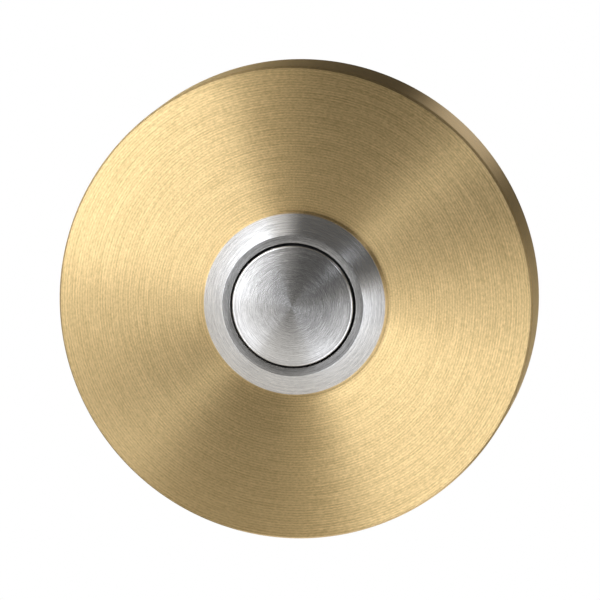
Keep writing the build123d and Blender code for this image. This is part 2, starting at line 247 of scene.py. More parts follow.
def softened_copy(name: str, node: str, width: float) -> bpy.types.Object:
    """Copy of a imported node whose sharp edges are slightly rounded.

    Args:
        name: Name of the new piece.
        node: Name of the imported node.
        width: Width of the rounding, in millimetres.

    Returns:
        The new piece.
    """
    shape = bmesh.new()
    shape.from_mesh(frame["nodes"][node].data)
    bmesh.ops.remove_doubles(shape, verts=shape.verts, dist=WELD_DISTANCE)
    bmesh.ops.dissolve_limit(shape, angle_limit=FLAT_ANGLE, verts=shape.verts,
                             edges=shape.edges)
    piece = linked(name, smooth_mesh(name, shape))
    modifier = piece.modifiers.new("edges", "BEVEL")
    modifier.width = width * MM
    modifier.segments = 2
    modifier.limit_method = "ANGLE"
    modifier.angle_limit = SHARP_ANGLE
    apply(piece)
    shade(piece.data, EASED_SHARP_ANGLE)
    return piece


class NodeTree:
    """Short way to write the nodes of a material, of the world or of Geometry Nodes."""

    def __init__(self, tree: bpy.types.NodeTree) -> None:
        """Notes where the tree's nodes and links are kept."""
        self.nodes, self.links = tree.nodes, tree.links

    def node(self, kind: str, inputs: dict[str | int, object] | None = None,
             **options: object) -> bpy.types.Node:
        """Adds a node.

        Args:
            kind: The node's type.
            inputs: Values or sockets for its inputs, by name or number.
            options: Its own settings.

        Returns:
            The new node.
        """
        made = self.nodes.new(kind)
        for name, value in options.items():
            setattr(made, name, value)
        for key, value in (inputs or {}).items():
            if isinstance(value, bpy.types.NodeSocket):
                self.links.new(value, made.inputs[key])
            else:
                made.inputs[key].default_value = value
        return made

    def maths(self, operation: str, *values: object) -> bpy.types.NodeSocket:
        """Result of a Math node on numbers or sockets."""
        return self.node("ShaderNodeMath", dict(enumerate(values)),
                         operation=operation).outputs[0]

    def scaled(self, value: bpy.types.NodeSocket, low: float, high: float,
               start: float = 0.0, end: float = 1.0, **options: str) -> bpy.types.NodeSocket:
        """Maps a value from the range of start and end to that of low and high, clamped."""
        return self.node("ShaderNodeMapRange",
                         {"Value": value, "From Min": start, "From Max": end,
                          "To Min": low, "To Max": high}, **options).outputs["Result"]

    def place_of(self, **parts: object) -> bpy.types.NodeSocket:
        """Vector from its X, Y and Z, of which each may be left out."""
        return self.node("ShaderNodeCombineXYZ", parts).outputs[0]


class Shader(NodeTree):
    """Short way to write one material's nodes."""

    def __init__(self, name: str) -> None:
        """Starts a material with one Principled shader."""
        self.material = bpy.data.materials.new(name)
        self.material.use_nodes = True
        super().__init__(self.material.node_tree)
        self.surface = self.nodes["Principled BSDF"]
        self.place = self.node("ShaderNodeTexCoord").outputs["Object"]

    def set(self, **values: float | tuple[float, ...]) -> None:
        """Sets constants on the shader's own sockets, named with underscores for spaces."""
        for name, value in values.items():
            self.surface.inputs[name.replace("_", " ")].default_value = value

    def join(self, source: bpy.types.NodeSocket, target: str) -> None:
        """Leads a value into one of the shader's sockets."""
        self.links.new(source, self.surface.inputs[target])

    def vector(self, operation: str, *values: object) -> bpy.types.Node:
        """Vector Math node on vectors or sockets."""
        return self.node("ShaderNodeVectorMath", dict(enumerate(values)),
                         operation=operation)

    def noise(self, place: bpy.types.NodeSocket, scale: float, detail: float = 2.0,
              roughness: float = 0.5) -> bpy.types.NodeSocket:
        """Noise between 0 and 1 at a place."""
        return self.node("ShaderNodeTexNoise",
                         {"Vector": place, "Scale": scale, "Detail": detail,
                          "Roughness": roughness}).outputs["Fac"]

    def tinted(self, share: bpy.types.NodeSocket, low: tuple[float, float, float],
               high: tuple[float, float, float]) -> bpy.types.NodeSocket:
        """Colour between two colours."""
        return self.node("ShaderNodeMix",
                         {"Factor": share, "A": (*low, 1), "B": (*high, 1)},
                         data_type="RGBA").outputs["Result"]

    def bump(self, height: bpy.types.NodeSocket, depth: float = 1.0) -> None:
        """Raises the surface by a height times a depth in millimetres."""
        made = self.node("ShaderNodeBump", {"Height": height, "Strength": 1.0,
                                            "Distance": depth * MM})
        self.join(made.outputs["Normal"], "Normal")


@dataclass(frozen=True)
class Finish:
    """What every finish has.

    Args:
        name: Name of the material.
        light: Colour of the ridges, or of where it is cleanest.
        deep: Colour of the valleys, or of where it is dullest.
        roughness: Roughness of the surface.
        roughness_spread: How much the roughness changes over the surface.
        grain: Number of random lines or grains in a millimetre.
        grain_depth: Depth of the lines or height of the grains, in millimetres.
    """

    name: str
    light: tuple[float, float, float]
    deep: tuple[float, float, float]
    roughness: float
    roughness_spread: float
    grain: float
    grain_depth: float

    def colour(self, shader: Shader, tone: bpy.types.NodeSocket,
               change: bpy.types.NodeSocket) -> None:
        """Leads the colour and the roughness into a material.

        Args:
            shader: The material's nodes.
            tone: Where it is deep, at 0, or light, at 1.
            change: Noise that changes the roughness.
        """
        shader.join(shader.tinted(tone, self.deep, self.light), "Base Color")
        shader.join(shader.scaled(change, self.roughness - self.roughness_spread,
                                  self.roughness + self.roughness_spread, *NOISE_SPAN),
                    "Roughness")


@dataclass(frozen=True)
class TurnedFinish(Finish):
    """Metal with fine lines round the button's axis, as a lathe or a brush leaves them.

    Args:
        anisotropy: How much the lines draw out the reflections.
        pitch: Distance of the regular lines, in millimetres.
        pitch_depth: Depth of the regular lines, in millimetres.
        pitch_tone: How much the regular lines change the colour.
        long_streaks: How often the long random lines change on their way round.
        short_streaks: How often the short random lines change on their way round.
        short_share: Share of the short lines, from 0 to 1.
        short_fineness: How much finer the short lines are than the long ones.
    """

    anisotropy: float
    pitch: float
    pitch_depth: float
    pitch_tone: float
    long_streaks: float
    short_streaks: float
    short_share: float
    short_fineness: float = 1.3

    @staticmethod
    def streaks(shader: Shader, spoke: bpy.types.NodeSocket, across: bpy.types.NodeSocket,
                times: float, grain: float) -> bpy.types.NodeSocket:
        """Random lines round the axis.

        Args:
            shader: The material's nodes.
            spoke: Direction from the axis, of length 1.
            across: Distance over the surface, in metres.
            times: How often a line changes on its way round.
            grain: Number of lines in a millimetre.

        Returns:
            The lines, as a value between 0 and 1.
        """
        parts = shader.node("ShaderNodeSeparateXYZ", {0: spoke}).outputs
        place = shader.place_of(X=shader.maths("MULTIPLY", parts["X"], times),
                                Y=shader.maths("MULTIPLY", across, grain / MM),
                                Z=shader.maths("MULTIPLY", parts["Z"], times))
        return shader.noise(place, 1.0, 2.0, 0.6)

    def build(self) -> bpy.types.Material:
        """Returns the material."""
        shader = Shader(self.name)
        parts = shader.node("ShaderNodeSeparateXYZ", {0: shader.place}).outputs
        flat = shader.place_of(X=parts["X"], Z=parts["Z"])
        radius = shader.vector("LENGTH", flat).outputs["Value"]
        across = shader.maths("ADD", radius, parts["Y"])
        spoke = shader.vector("NORMALIZE", flat).outputs["Vector"]
        long_lines = self.streaks(shader, spoke, across, self.long_streaks, self.grain)
        short_lines = self.streaks(shader, spoke, across, self.short_streaks,
                                   self.short_fineness * self.grain)
        mixed = shader.maths("MULTIPLY_ADD", long_lines, 1 - self.short_share,
                             shader.maths("MULTIPLY", short_lines, self.short_share))
        turns = shader.maths("MULTIPLY", across, math.tau / (self.pitch * MM))
        wave = shader.maths("SINE", turns)
        tone = shader.maths("MULTIPLY_ADD", wave, self.pitch_tone,
                            shader.scaled(mixed, 0.0, 1.0, *LINE_SPAN))
        self.colour(shader, tone, mixed)
        shader.bump(shader.maths("MULTIPLY_ADD", wave, self.pitch_depth / 2,
                                 shader.maths("MULTIPLY", mixed, self.grain_depth)))
        tangent = shader.vector("CROSS_PRODUCT", (0.0, 1.0, 0.0), shader.place)
        shader.join(shader.vector("NORMALIZE",
                                  tangent.outputs["Vector"]).outputs["Vector"], "Tangent")
        shader.set(Metallic=1.0, Anisotropic=self.anisotropy, Anisotropic_Rotation=0.25)
        return shader.material


@dataclass(frozen=True)
class PlainFinish(Finish):
    """Plated or moulded surface with a fine even grain and a slight change of tone.

    Args:
        metallic: 1 for metal and 0 for plastic or rubber.
    """

    metallic: float = 1.0

    def build(self) -> bpy.types.Material:
        """Returns the material."""
        shader = Shader(self.name)
        cloud = shader.noise(shader.place, CLOUDS_IN_A_MM / MM, 4.0)
        self.colour(shader, shader.scaled(cloud, 0.0, 1.0, *CLOUD_SPAN), cloud)
        shader.bump(shader.noise(shader.place, self.grain / MM), self.grain_depth)
        shader.set(Metallic=self.metallic)
        return shader.material


FINISHES: dict[Slot, TurnedFinish | PlainFinish] = {
    Slot.TURNED_BRASS: TurnedFinish(
        "satin_turned_brass", light=(1.0, 0.73, 0.35), deep=(0.63, 0.44, 0.19),
        roughness=0.34, roughness_spread=0.06, grain=5.2, grain_depth=0.006,
        anisotropy=1.0, pitch=0.27, pitch_depth=0.003, pitch_tone=0.18,
        long_streaks=3.0, short_streaks=60.0, short_share=0.62),
    Slot.BRUSHED_STAINLESS: TurnedFinish(
        "brushed_stainless", light=(0.99, 0.96, 0.91), deep=(0.62, 0.60, 0.57),
        roughness=0.22, roughness_spread=0.02, grain=6.4, grain_depth=0.0003,
        anisotropy=0.86, pitch=0.22, pitch_depth=0.0003, pitch_tone=0.12,
        long_streaks=2.2, short_streaks=14.0, short_share=0.45),
    Slot.TURNED_ALUMINIUM: TurnedFinish(
        "turned_aluminium", light=(0.82, 0.83, 0.84), deep=(0.68, 0.69, 0.70),
        roughness=0.36, roughness_spread=0.04, grain=5.0, grain_depth=0.001,
        anisotropy=0.8, pitch=0.16, pitch_depth=0.0012, pitch_tone=0.18,
        long_streaks=3.0, short_streaks=20.0, short_share=0.3),
    Slot.PLATED_STEEL: PlainFinish(
        "zinc_plated_steel", light=(0.72, 0.73, 0.74), deep=(0.60, 0.61, 0.63),
        roughness=0.28, roughness_spread=0.06, grain=6.0, grain_depth=0.001),
    Slot.DARK_STEEL: PlainFinish(
        "black_oxide_steel", light=(0.09, 0.09, 0.095), deep=(0.05, 0.05, 0.055),
        roughness=0.38, roughness_spread=0.06, grain=8.0, grain_depth=0.001),
    Slot.SPRING_STEEL: PlainFinish(
        "drawn_spring_steel", light=(0.60, 0.60, 0.61), deep=(0.48, 0.48, 0.49),
        roughness=0.25, roughness_spread=0.05, grain=5.0, grain_depth=0.0008),
    Slot.CONTACT_BRASS: PlainFinish(
        "bright_contact_brass", light=(0.86, 0.68, 0.36), deep=(0.76, 0.57, 0.27),
        roughness=0.24, roughness_spread=0.05, grain=5.0, grain_depth=0.0008),
    Slot.BLACK_MOULDING: PlainFinish(
        "black_moulding", light=(0.026, 0.026, 0.028), deep=(0.018, 0.018, 0.020),
        roughness=0.48, roughness_spread=0.06, grain=7.0, grain_depth=0.006, metallic=0.0),
    Slot.SEAL_RUBBER: PlainFinish(
        "black_seal_rubber", light=(0.012, 0.012, 0.012), deep=(0.008, 0.008, 0.008),
        roughness=0.8, roughness_spread=0.05, grain=6.0, grain_depth=0.003, metallic=0.0),
}


class Workshop:
    """Keeps the made materials and notes what each finished piece stands for."""

    def __init__(self) -> None:
        """Builds every finish."""
        self.materials = {slot: finish.build() for slot, finish in FINISHES.items()}

    def finish(self, piece: bpy.types.Object, slot: Slot, body: Body, *nodes: str) -> None:
        """Dresses a piece, sets it on its body and hides the nodes that it stands for.

        Args:
            piece: The finished mesh.
            slot: Where its finish comes from.
            body: The body that it moves with.
            nodes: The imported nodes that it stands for.
        """
        piece.data.materials.clear()
        piece.data.materials.append(self.materials[slot])
        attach(piece, body.value)
        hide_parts(*nodes)
        log.info("%s: %d faces, for %s", piece.name, len(piece.data.polygons),
                 ", ".join(nodes))

    def dress_nodes(self) -> None:
        """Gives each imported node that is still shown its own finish."""
        slots = {part["node"]: Slot(part["material_slot"])
                 for part in frame["record"]["subparts"]}
        for name, node in frame["nodes"].items():
            material = self.materials[slots[name]]
            if not node.data.materials:
                node.data.materials.append(material)
            for entry in node.material_slots:
                entry.material = material


class Tree(NodeTree):
    """Short way to write a Geometry Nodes tree with named inputs."""

    def __init__(self, name: str, sizes: dict[str, float | int]) -> None:
        """Starts a tree.

        Args:
            name: Name of the tree.
            sizes: The named inputs and their values.
        """
        self.group = bpy.data.node_groups.new(name, "GeometryNodeTree")
        super().__init__(self.group)
        self.values: dict[str, object] = {}
        face = self.group.interface
        face.new_socket(name="Geometry", in_out="INPUT", socket_type="NodeSocketGeometry")
        for label, value in sizes.items():
            kind = "NodeSocketInt" if isinstance(value, int) else "NodeSocketFloat"
            entry = face.new_socket(name=label, in_out="INPUT", socket_type=kind)
            self.values[entry.identifier] = value
        entry = face.new_socket(name="Material", in_out="INPUT",
                                socket_type="NodeSocketMaterial")
        self.material_key = entry.identifier
        face.new_socket(name="Geometry", in_out="OUTPUT", socket_type="NodeSocketGeometry")
        self.inputs = self.node("NodeGroupInput").outputs

    def winding(self) -> tuple[bpy.types.NodeSocket, bpy.types.NodeSocket]:
        """Returns the passed share of a coil's length, and the angle turned till there."""
        share = self.node("GeometryNodeSplineParameter").outputs["Factor"]
        turns = self.maths("MULTIPLY", share, self.inputs["Turns"])
        return share, self.maths("MULTIPLY", turns, math.tau)

    def coil(self, points: int | bpy.types.NodeSocket, angle: bpy.types.NodeSocket,
             radius: bpy.types.NodeSocket,
             along: bpy.types.NodeSocket) -> bpy.types.NodeSocket:
        """Curve wound about the Y axis.

        Args:
            points: Number of its points.
            angle: Angle turned till a point.
            radius: Distance of a point from the axis.
            along: Place of a point along Y.

        Returns:
            The curve.
        """
        line = self.node("GeometryNodeCurvePrimitiveLine")
        fine = self.node("GeometryNodeResampleCurve",
                         {"Curve": line.outputs["Curve"], "Count": points})
        place = self.place_of(X=self.maths("MULTIPLY", radius, self.maths("COSINE", angle)),
                              Y=along,
                              Z=self.maths("MULTIPLY", radius, self.maths("SINE", angle)))
        return self.node("GeometryNodeSetPosition",
                         {"Geometry": fine.outputs[0], "Position": place}).outputs[0]

    def pair(self, geometry: bpy.types.NodeSocket) -> bpy.types.NodeSocket:
        """Sets one copy of a shape on each side of the axis."""
        start = self.place_of(X=self.maths("MULTIPLY", self.inputs["Spacing"], -0.5))
        step = self.place_of(X=self.inputs["Spacing"])
        spots = self.node("GeometryNodeMeshLine", {"Count": self.inputs["Count"],
                                                   "Start Location": start, "Offset": step})
        return self.node("GeometryNodeInstanceOnPoints",
                         {"Points": spots.outputs[0], "Instance": geometry}).outputs[0]

    def close(self, geometry: bpy.types.NodeSocket) -> None:
        """Ends the tree in Realize Instances and Set Material."""
        real = self.node("GeometryNodeRealizeInstances", {0: geometry})
        dressed = self.node("GeometryNodeSetMaterial",
                            {"Geometry": real.outputs[0], "Material": self.inputs["Material"]})
        self.node("NodeGroupOutput", {0: dressed.outputs[0]})

    def run(self, piece: bpy.types.Object, material: bpy.types.Material) -> None:
        """Runs the tree on a piece and keeps the result as its plain mesh.

        Args:
            piece: The piece whose mesh goes in.
            material: The material that the tree sets.
        """
        modifier = piece.modifiers.new(self.group.name, "NODES")
        modifier.node_group = self.group
        for key, value in self.values.items():
            modifier[key] = value
        modifier[self.material_key] = material
        apply(piece)
        shade(piece.data)


@dataclass
class Maker:
    """Makes some of the pieces, from sizes in millimetres.

    Args:
        shop: Where the finishes come from.
    """

    shop: Workshop


@dataclass
class Cover(Maker):
    """The turned brass cover, with the base and the screws that hold it on the wall."""

    radius: float = 25.0
    front: float = -8.0
    inner: float = -5.0
    recess_radius: float = 22.5
    hole_radius: float = 8.1
    edge_width: float = 0.21
    edge_depth: float = 0.48
    tapped_radius: float = 1.53
    drill_reach: float = 4.0
    drill_inset: float = 1.0
    fixing_place: float = -2.0
    plate_front: float = -4.0
    plate_radius: float = 22.25
    plate_chamfer: float = 0.5
    plate_opening: float = 11.97
    plate_groove_depth: float = 0.9
    plate_groove_floor: float = 0.35
    plate_groove_mouth: float = 1.25
    seat_front: float = -3.9
    seat_back: float = -2.4
    seat_hole_radius: float = 2.0
    seat_beyond: float = 0.2
    screw_place: float = 17.0
    screw_head_sink: float = 0.1
    screw_head_radius: float = 3.5
    screw_head_height: float = 2.2
    screw_neck_radius: float = 1.3
    screw_neck_end: float = -0.45
    screw_slot_sink: float = 0.4
    screw_slot_size: tuple[float, float, float] = (1.0, 1.2, 8.0)
    screw_thread_radius: float = 1.75
    screw_core_radius: float = 1.15
    screw_point_start: float = 16.6
    screw_tip: float = 21.1
    thread_start: float = 0.6
    thread_pitch: float = 1.5
    thread_turns: int = 11
    thread_turn_points: int = 28
    thread_rise_share: float = 0.04
    thread_fade_share: float = 0.86
    thread_tip_scale: float = 0.42
    ridge_sink: float = 0.1
    ridge_root: float = 0.62
    ridge_crest: float = 0.09

    def disc(self) -> None:
        """Makes the cover with its tapped hole."""
        piece = turned("cover", eased_outline([
            Corner(self.hole_radius, self.front, 0.08),
            Corner(self.radius - self.edge_width, self.front, 0.04),
            Corner(self.radius, self.front + self.edge_depth, 0.06),
            Corner(self.radius, 0.0, 0.15),
            Corner(self.recess_radius, 0.0, 0.15),
            Corner(self.recess_radius, self.inner, 0.5),
            Corner(self.hole_radius, self.inner, 0.08)]))
        drill = turned("drill", [(0, -self.drill_reach), (self.tapped_radius, -self.drill_reach),
                                 (self.tapped_radius, self.drill_reach),
                                 (0, self.drill_reach)], FINE_SEGMENTS // 2)
        for vertex in drill.data.vertices:
            x, y, z = vertex.co
            vertex.co = (x, self.fixing_place * MM - z, y - (self.radius - self.drill_inset) * MM)
        combine(piece, drill)
        self.shop.finish(piece, Slot.TURNED_BRASS, Body.HOUSING, "cover_disc")

    def plate(self) -> None:
        """Makes the base with its two countersunk holes."""
        rim, middle = self.plate_radius, self.fixing_place
        groove = rim - self.plate_groove_depth
        piece = turned("base_plate", eased_outline([
            Corner(self.plate_opening, self.plate_front, 0.2),
            Corner(rim - self.plate_chamfer, self.plate_front, 0.1),
            Corner(rim, self.plate_front + self.plate_chamfer, 0.1),
            Corner(rim, middle - self.plate_groove_mouth, 0.08),
            Corner(groove, middle - self.plate_groove_floor, 0.08),
            Corner(groove, middle + self.plate_groove_floor, 0.08),
            Corner(rim, middle + self.plate_groove_mouth, 0.08),
            Corner(rim, 0.0, 0.15), Corner(self.plate_opening, 0.0, 0.2)], 3))
        beyond, wide, narrow = self.seat_beyond, self.screw_head_radius, self.seat_hole_radius
        for side in (-1, 1):
            seat = turned("seat", [
                (0, self.plate_front - beyond), (wide, self.plate_front - beyond),
                (wide, self.seat_front), (narrow, self.seat_back), (narrow, beyond),
                (0, beyond)], FINE_SEGMENTS)
            for vertex in seat.data.vertices:
                vertex.co.x += side * self.screw_place * MM
            combine(piece, seat)
        self.shop.finish(piece, Slot.TURNED_ALUMINIUM, Body.HOUSING, "mounting_plate")

    def wall_screws(self) -> None:
        """Makes both wood screws, their threads and places made by Geometry Nodes."""
        head = self.plate_front + self.screw_head_sink
        piece = turned("wall_screws", eased_outline([
            Corner(0, head), Corner(self.screw_head_radius, head, 0.08),
            Corner(self.screw_neck_radius, head + self.screw_head_height, 0.3),
            Corner(self.screw_neck_radius, self.screw_neck_end, 0.05),
            Corner(self.screw_core_radius, 0.0, 0.05),
            Corner(self.screw_core_radius, self.screw_point_start),
            Corner(0, self.screw_tip)], 3), FINE_SEGMENTS // 2)
        combine(piece, block("slot", (0, head + self.screw_slot_sink, 0),
                             self.screw_slot_size))
        tree = Tree("WoodScrews", {
            "Spacing": 2 * self.screw_place * MM, "Turns": float(self.thread_turns),
            "Pitch": self.thread_pitch * MM, "Crest": self.screw_thread_radius * MM,
            "Root": self.screw_core_radius * MM, "Start": self.thread_start * MM, "Count": 2})
        share, angle = tree.winding()
        length = tree.maths("MULTIPLY", tree.inputs["Turns"], tree.inputs["Pitch"])
        fade = tree.scaled(share, 1.0, self.thread_tip_scale, self.thread_fade_share, 1.0)
        rise = tree.scaled(share, 0.0, 1.0, 0.0, self.thread_rise_share)
        coil = tree.coil(self.thread_turns * self.thread_turn_points, angle,
                         tree.maths("MULTIPLY", tree.inputs["Root"], fade),
                         tree.maths("MULTIPLY_ADD", share, length, tree.inputs["Start"]))
        outward = tree.place_of(X=tree.maths("COSINE", angle), Z=tree.maths("SINE", angle))
        steady = tree.node("GeometryNodeSetCurveNormal", {"Curve": coil, "Normal": outward},
                           mode="FREE")
        height = tree.maths("MULTIPLY",
                            tree.maths("SUBTRACT", tree.inputs["Crest"], tree.inputs["Root"]),
                            tree.maths("MULTIPLY", rise, fade))
        ridge = tree.node("GeometryNodeCurvePrimitiveQuadrilateral", {
            "Point 1": (-self.ridge_sink, -self.ridge_root, 0),
            "Point 2": (1.0, -self.ridge_crest, 0), "Point 3": (1.0, self.ridge_crest, 0),
            "Point 4": (-self.ridge_sink, self.ridge_root, 0)}, mode="POINTS")
        swept = tree.node("GeometryNodeCurveToMesh",
                          {"Curve": steady.outputs[0], "Profile Curve": ridge.outputs[0],
                           "Scale": height, "Fill Caps": True})
        both = tree.node("GeometryNodeJoinGeometry")
        for part in (tree.inputs["Geometry"], swept.outputs[0]):
            tree.links.new(part, both.inputs[0])
        tree.close(tree.pair(both.outputs[0]))
        tree.run(piece, self.shop.materials[Slot.PLATED_STEEL])
        self.shop.finish(piece, Slot.PLATED_STEEL, Body.HOUSING, "wall_screw_left",
                         "wall_screw_right")

    def fixings(self) -> None:
        """Makes the set screw with eased edges."""
        piece = softened_copy("cover_set_screw", "set_screw", 0.06)
        self.shop.finish(piece, Slot.DARK_STEEL, Body.HOUSING, "set_screw")


@dataclass
class Switch(Maker):
    """The switch housing with what stands still in it."""

    face: float = -8.0
    land: float = -9.85
    bore_radius: float = 6.6
    land_radius: float = 7.45
    flange_radius: float = 9.65
    flange_break_width: float = 0.09
    flange_break_front: float = -8.46
    flange_break_back: float = -8.32
    seal_groove_radius: float = 8.76
    seal_groove_floor: float = -8.7
    barrel_radius: float = 8.0
    barrel_end: float = 12.6
    barrel_chamfer: float = 0.4
    plain_radius: float = 7.8
    chamber_radius: float = 6.95
    cap_shoulder: float = -5.6
    insert_radius: float = 7.2
    insert_step: float = 2.0
    snap_groove_radius: float = 7.5
    snap_groove_front: float = 11.2
    snap_groove_back: float = 11.9
    thread_end: float = 1.2
    thread_pitch: float = 1.0
    thread_depth: float = 0.6
    thread_rows: int = 8
    thread_flat: float = 0.12
    thread_runout: float = 0.5
    thread_margins: tuple[float, float] = (0.6, 0.05)
    nut_flat: float = 9.5
    nut_hole: float = 8.05
    nut_front: float = -4.4
    nut_back: float = -1.9
    nut_hole_chamfer: float = 0.35
    nut_face_inset: float = 0.1
    nut_chamfer: float = 30.0
    spring_front: float = -6.67
    spring_radius: float = 3.2
    spring_turns: float = 6.0
    spring_turn_points: int = 40
    spring_closed_wires: float = 2.04
    spring_open_share: tuple[float, float] = (0.16, 0.84)
    spring_play: float = 0.03
    wire_radius: float = 0.3
    wire_sides: int = 12
    travel: float = 1.5
    terminal_place: float = 3.4
    terminal_tip: float = 8.8
    terminal_post: float = 12.2
    terminal_washer: float = 12.6
    terminal_head: float = 14.2
    terminal_screw_radius: float = 1.25
    terminal_head_radius: float = 2.3
    terminal_slot_size: tuple[float, float, float] = (0.6, 1.6, 6.0)
    washer_hole: float = 1.35
    washer_radius: float = 2.6

    def thread_scale(self, y: float, radius: float, turn: float) -> float:
        """How much nearer to the axis the thread moves a point of the barrel.

        Args:
            y: The point's place along Y, in metres.
            radius: Its distance from the axis, in metres.
            turn: Number of turns of the thread up to it.

        Returns:
            What its distance from the axis is multiplied by.
        """
        low = (self.face + self.thread_margins[0]) * MM
        high = (self.thread_end - self.thread_margins[1]) * MM
        if abs(radius - self.barrel_radius * MM) > ON_AXIS or not low < y < high:
            return 1.0
        share = abs(2 * (turn - math.floor(turn)) - 1)
        slope = 1 - 2 * self.thread_flat
        depth = min(max((share - self.thread_flat) / slope, 0), 1) * self.thread_depth * MM
        runout = self.thread_runout * MM
        return (radius - depth * min(1.0, (y - low) / runout, (high - y) / runout)) / radius

    def bezel(self) -> None:
        """Makes the bevelled head with its threaded barrel."""
        front = eased_outline([
            Corner(self.bore_radius, self.land, 0.03),
            Corner(self.land_radius, self.land, 0.04),
            Corner(self.flange_radius - self.flange_break_width, self.flange_break_front, 0.04),
            Corner(self.flange_radius, self.flange_break_back, 0.04),
            Corner(self.flange_radius, self.face, 0.05),
            Corner(self.seal_groove_radius, self.face),
            Corner(self.seal_groove_radius, self.seal_groove_floor),
            Corner(self.barrel_radius, self.seal_groove_floor)])
        row_height = self.thread_pitch / self.thread_rows
        threaded = [(self.barrel_radius, self.face + row * row_height)
                    for row in range(1, round((self.thread_end - self.face) / row_height))]
        chamfer, insert = self.barrel_chamfer, self.insert_radius
        rear = eased_outline([
            Corner(self.barrel_radius - self.thread_depth, self.thread_end),
            Corner(self.plain_radius, self.thread_end + chamfer, 0.1),
            Corner(self.plain_radius, self.barrel_end - chamfer, 0.1),
            Corner(self.plain_radius - chamfer, self.barrel_end, 0.1),
            Corner(insert, self.barrel_end, 0.06), Corner(insert, self.snap_groove_back),
            Corner(self.snap_groove_radius, self.snap_groove_back),
            Corner(self.snap_groove_radius, self.snap_groove_front),
            Corner(insert, self.snap_groove_front), Corner(insert, self.insert_step),
            Corner(self.chamber_radius, self.insert_step),
            Corner(self.chamber_radius, self.cap_shoulder),
            Corner(self.bore_radius, self.cap_shoulder)], 3)
        piece = turned("bezel_head", front + threaded + rear)
        for vertex in piece.data.vertices:
            x, y, z = vertex.co
            turn = y / (self.thread_pitch * MM) - math.atan2(z, x) / math.tau
            scale = self.thread_scale(y, math.hypot(x, z), turn)
            vertex.co = (x * scale, y, z * scale)
        piece.data = joined_mesh("bezel_head", piece.data)
        self.shop.finish(piece, Slot.BRUSHED_STAINLESS, Body.HOUSING, "bezel")

    def nut(self) -> None:
        """Makes the hexagon nut, chamfered on both faces."""
        front, back, hole = self.nut_front, self.nut_back, self.nut_hole
        corner = self.nut_flat / math.cos(math.radians(30))
        drop = (corner - self.nut_flat) * math.tan(math.radians(self.nut_chamfer))
        face = self.nut_flat - self.nut_face_inset
        mouth, deep = hole + self.nut_hole_chamfer, self.nut_hole_chamfer
        piece = turned("hexagon_nut", eased_outline([
            Corner(mouth, front), Corner(face, front, 0.1), Corner(corner, front + drop),
            Corner(corner, back - drop), Corner(face, back, 0.1), Corner(mouth, back, 0.05),
            Corner(hole, back - deep), Corner(hole, front + deep)], 3))
        hexagon = turned("hexagon", [(0, front - 1), (corner, front - 1), (corner, back + 1),
                                     (0, back + 1)], 6)
        combine(piece, hexagon, "INTERSECT")
        self.shop.finish(piece, Slot.PLATED_STEEL, Body.HOUSING, "fixing_nut")

    def spring(self) -> None:
        """Makes the return spring with closed ends, wound by Geometry Nodes."""
        piece = linked("coil_spring", bpy.data.meshes.new("coil_spring"))
        tree = Tree("CoilSpring", {
            "Turns": self.spring_turns, "Mean radius": self.spring_radius * MM,
            "Wire radius": self.wire_radius * MM,
            "Front": (self.spring_front + self.wire_radius) * MM,
            "Length": (-self.spring_front - 2 * self.wire_radius - self.spring_play) * MM,
            "Points": int(self.spring_turns * self.spring_turn_points)})
        share, angle = tree.winding()
        wires = tree.maths("MULTIPLY", tree.inputs["Turns"], tree.inputs["Wire radius"])
        closed = tree.maths("MULTIPLY", wires, self.spring_closed_wires)
        opened = tree.maths("SUBTRACT", tree.inputs["Length"], closed)
        middle = tree.scaled(share, 0.0, 1.0, *self.spring_open_share,
                             interpolation_type="SMOOTHSTEP")
        height = tree.maths("ADD", tree.inputs["Front"], tree.maths(
            "MULTIPLY_ADD", share, closed, tree.maths("MULTIPLY", middle, opened)))
        coil = tree.coil(tree.inputs["Points"], angle, tree.inputs["Mean radius"], height)
        wire = tree.node("GeometryNodeCurvePrimitiveCircle",
                         {"Resolution": self.wire_sides, "Radius": tree.inputs["Wire radius"]})
        swept = tree.node("GeometryNodeCurveToMesh",
                          {"Curve": coil, "Profile Curve": wire.outputs["Curve"],
                           "Fill Caps": True})
        tree.close(swept.outputs[0])
        tree.run(piece, self.shop.materials[Slot.SPRING_STEEL])
        self.shop.finish(piece, Slot.SPRING_STEEL, Body.HOUSING, "return_spring")
        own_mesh(piece)

    def terminals(self) -> None:
        """Makes the parts that show at the back with eased edges."""
        for name, node, slot, width in (
                ("rear_moulding", "terminal_base", Slot.BLACK_MOULDING, 0.15),
                ("insert", "contact_carrier", Slot.BLACK_MOULDING, 0.1),
                ("rear_snap_ring", "base_clip", Slot.SPRING_STEEL, 0.06),
                ("toothed_washer", "lock_washer", Slot.PLATED_STEEL, 0.05),
                ("terminal_post_left", "fixed_contact_left", Slot.CONTACT_BRASS, 0.08),
                ("terminal_post_right", "fixed_contact_right", Slot.CONTACT_BRASS, 0.08)):
            piece = softened_copy(name, node, width)
            self.shop.finish(piece, slot, Body.HOUSING, node)

